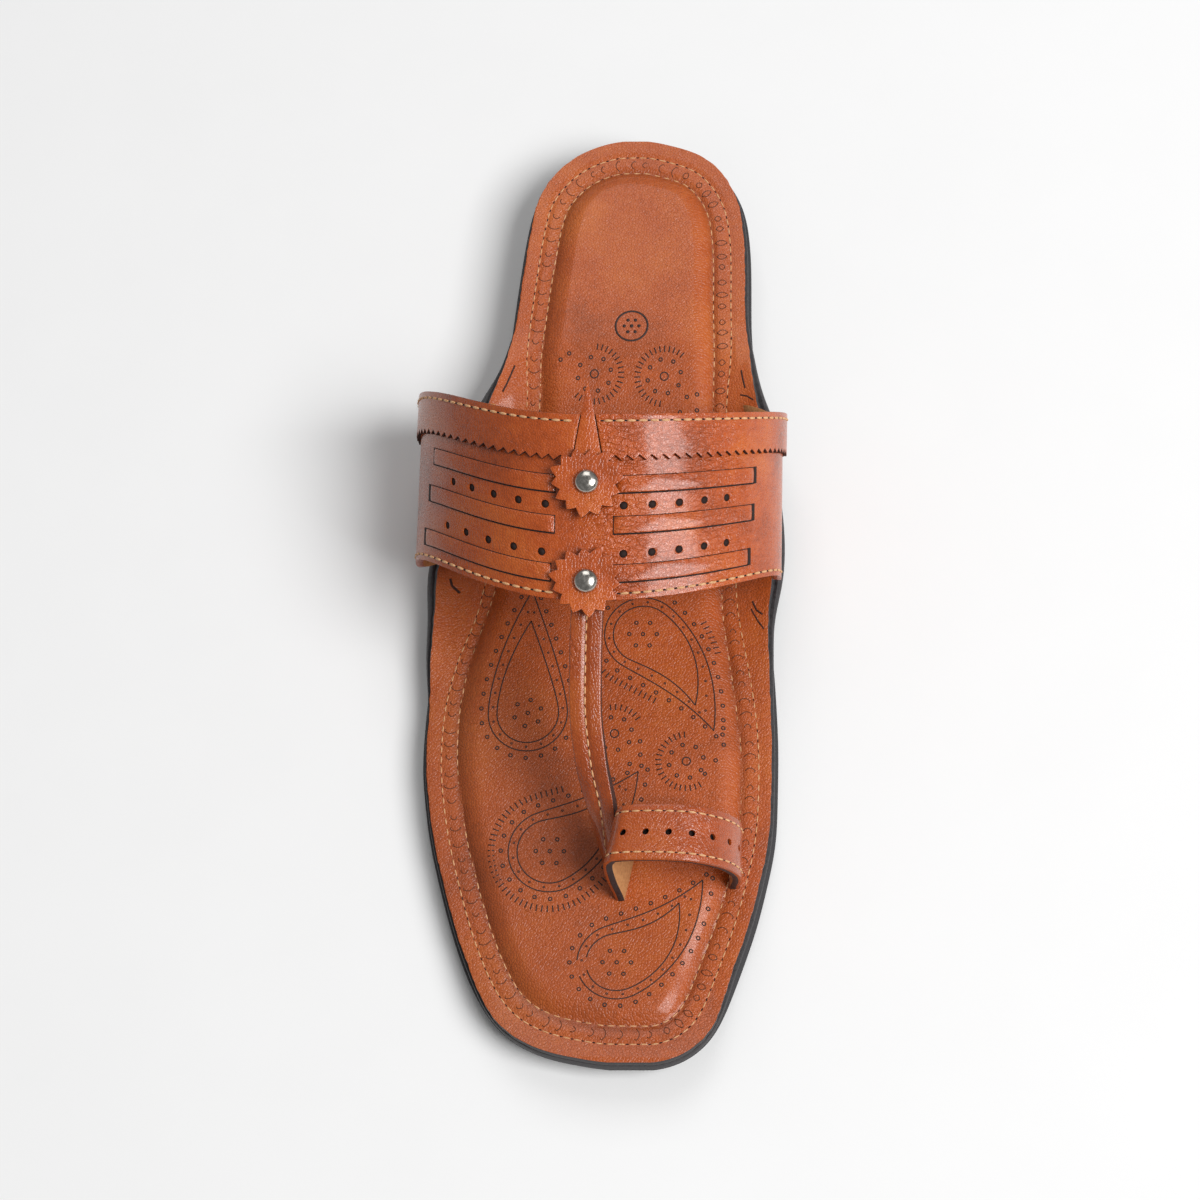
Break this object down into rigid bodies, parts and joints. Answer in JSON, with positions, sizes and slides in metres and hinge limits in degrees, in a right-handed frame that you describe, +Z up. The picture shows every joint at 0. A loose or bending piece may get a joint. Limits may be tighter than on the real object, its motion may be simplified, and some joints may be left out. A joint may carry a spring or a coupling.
{
  "type": "kolhapuri sandal",
  "caption": "Flat leather kolhapuri sandal for the right foot, with an instep band, a centre strap and a toe ring over a padded footbed.",
  "frame": {"origin": "on the ground, under the middle of the sandal's box", "axes": "+Z up; -Y toward the toe, +Y toward the heel; +X toward the inner side of the right foot"},
  "size_m": [0.1086, 0.286, 0.0729],
  "materials": {
    "rubber": "matt black moulded rubber",
    "edge_leather": "leather board with a black painted, milled edge",
    "footbed_leather": "cognac leather, satin, burnished with dark engraved ornament",
    "strap_leather": "cognac leather, glossy, fine creased grain",
    "rivet_metal": "old nickel, domed and polished"
  },
  "bodies": {
    "root": {"outsole": "rubber", "heel": "rubber", "midsole": "edge_leather", "insole": "footbed_leather", "upper": "strap_leather", "overlay_lateral": "strap_leather", "overlay_medial": "strap_leather", "spike": "strap_leather", "star_rear": "strap_leather", "star_front": "strap_leather", "rivet_rear": "rivet_metal", "rivet_front": "rivet_metal"}
  },
  "joints": []
}
